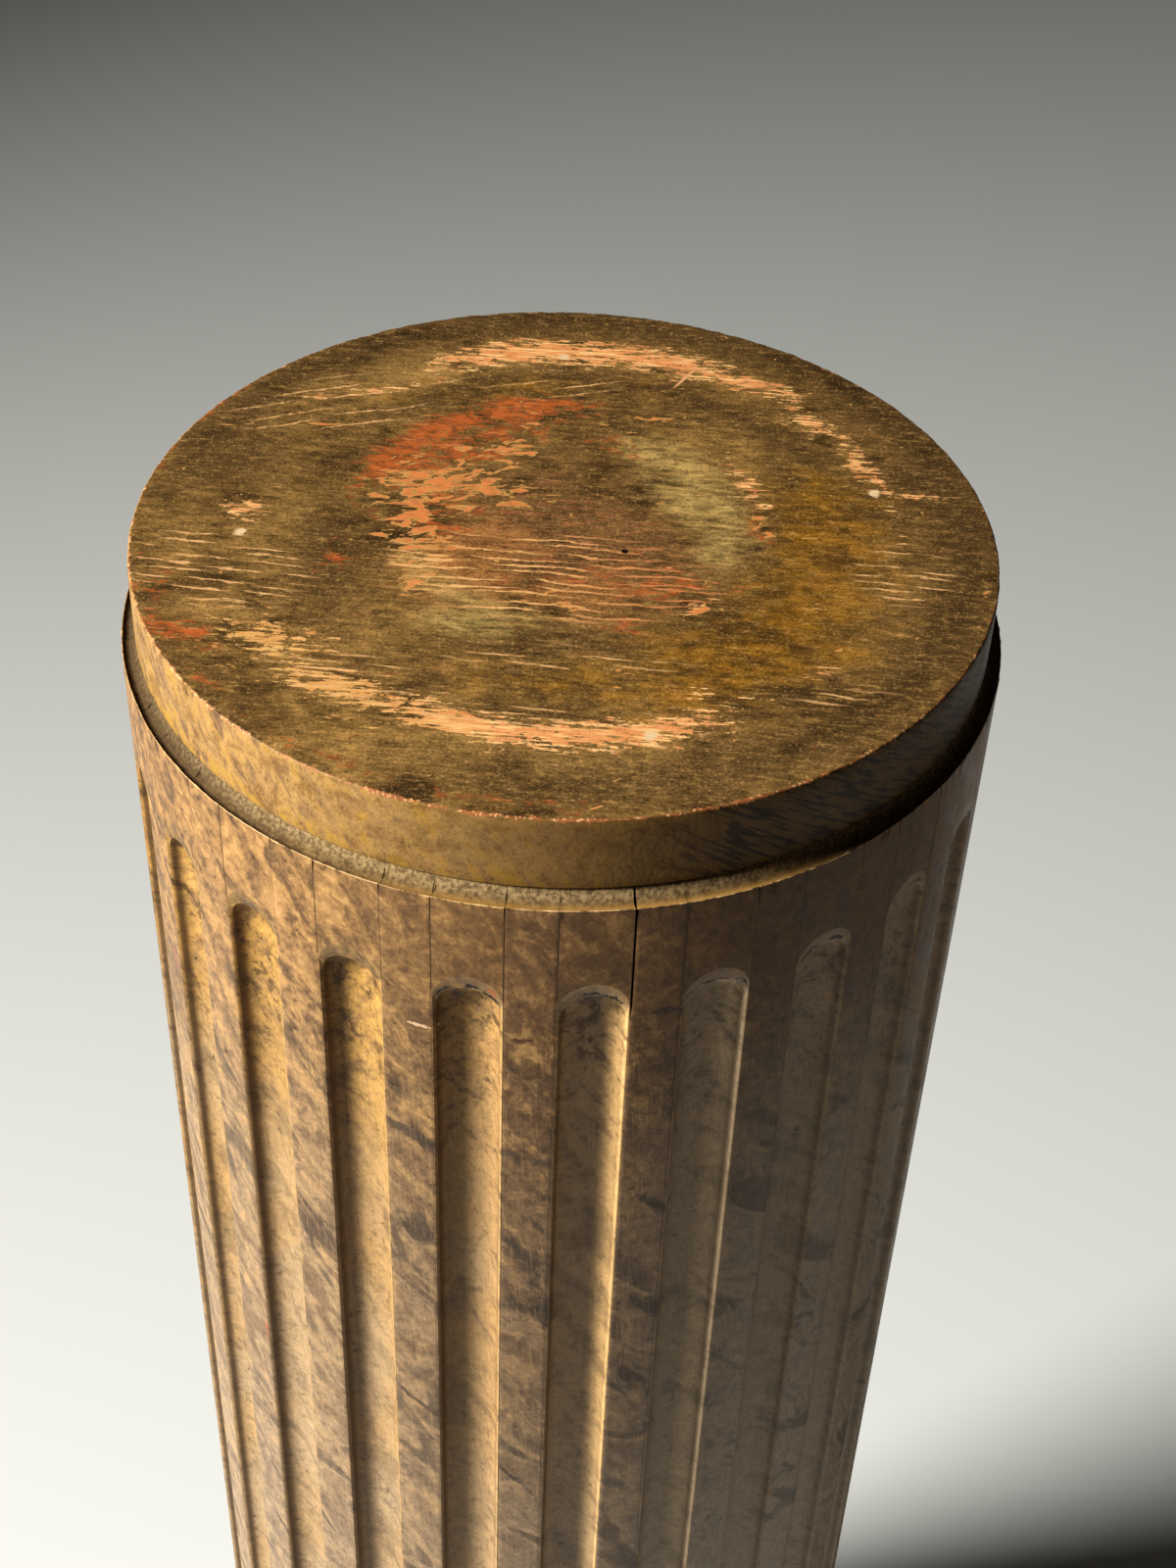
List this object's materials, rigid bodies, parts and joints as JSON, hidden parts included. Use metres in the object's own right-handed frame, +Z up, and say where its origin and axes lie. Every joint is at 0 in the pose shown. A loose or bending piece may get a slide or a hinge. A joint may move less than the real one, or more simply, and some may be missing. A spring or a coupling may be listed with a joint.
{
  "type": "painted wooden column",
  "caption": "Round free-standing pedestal column of painted wood: a turned cap disc on a hollow coopered shaft of fluted and plain staves, with worn faux-marble paint.",
  "frame": {"origin": "centre of the foot, on the floor", "axes": "+Z up along the shaft's axis, the viewed side faces -Y"},
  "size_m": [0.3, 0.3, 1],
  "materials": {
    "disc_paint": "worn satin paint glaze",
    "shaft_paint": "worn satin faux-marble paint"
  },
  "bodies": {
    "root": {"cap_disc": "disc_paint", "fluted_stave_01": "shaft_paint", "plain_stave_01": "shaft_paint", "fluted_stave_02": "shaft_paint", "plain_stave_02": "shaft_paint", "fluted_stave_03": "shaft_paint", "plain_stave_03": "shaft_paint", "fluted_stave_04": "shaft_paint", "plain_stave_04": "shaft_paint", "fluted_stave_05": "shaft_paint", "plain_stave_05": "shaft_paint", "fluted_stave_06": "shaft_paint", "plain_stave_06": "shaft_paint", "fluted_stave_07": "shaft_paint", "plain_stave_07": "shaft_paint", "fluted_stave_08": "shaft_paint", "plain_stave_08": "shaft_paint", "fluted_stave_09": "shaft_paint", "plain_stave_09": "shaft_paint", "fluted_stave_10": "shaft_paint", "plain_stave_10": "shaft_paint", "fluted_stave_11": "shaft_paint", "plain_stave_11": "shaft_paint", "fluted_stave_12": "shaft_paint", "plain_stave_12": "shaft_paint", "fluted_stave_13": "shaft_paint", "plain_stave_13": "shaft_paint", "fluted_stave_14": "shaft_paint", "plain_stave_14": "shaft_paint", "fluted_stave_15": "shaft_paint", "plain_stave_15": "shaft_paint", "fluted_stave_16": "shaft_paint", "plain_stave_16": "shaft_paint", "fluted_stave_17": "shaft_paint", "plain_stave_17": "shaft_paint", "fluted_stave_18": "shaft_paint", "plain_stave_18": "shaft_paint", "fluted_stave_19": "shaft_paint", "plain_stave_19": "shaft_paint", "fluted_stave_20": "shaft_paint", "plain_stave_20": "shaft_paint", "fluted_stave_21": "shaft_paint", "plain_stave_21": "shaft_paint", "fluted_stave_22": "shaft_paint", "plain_stave_22": "shaft_paint", "fluted_stave_23": "shaft_paint", "plain_stave_23": "shaft_paint", "fluted_stave_24": "shaft_paint", "plain_stave_24": "shaft_paint"}
  },
  "joints": []
}
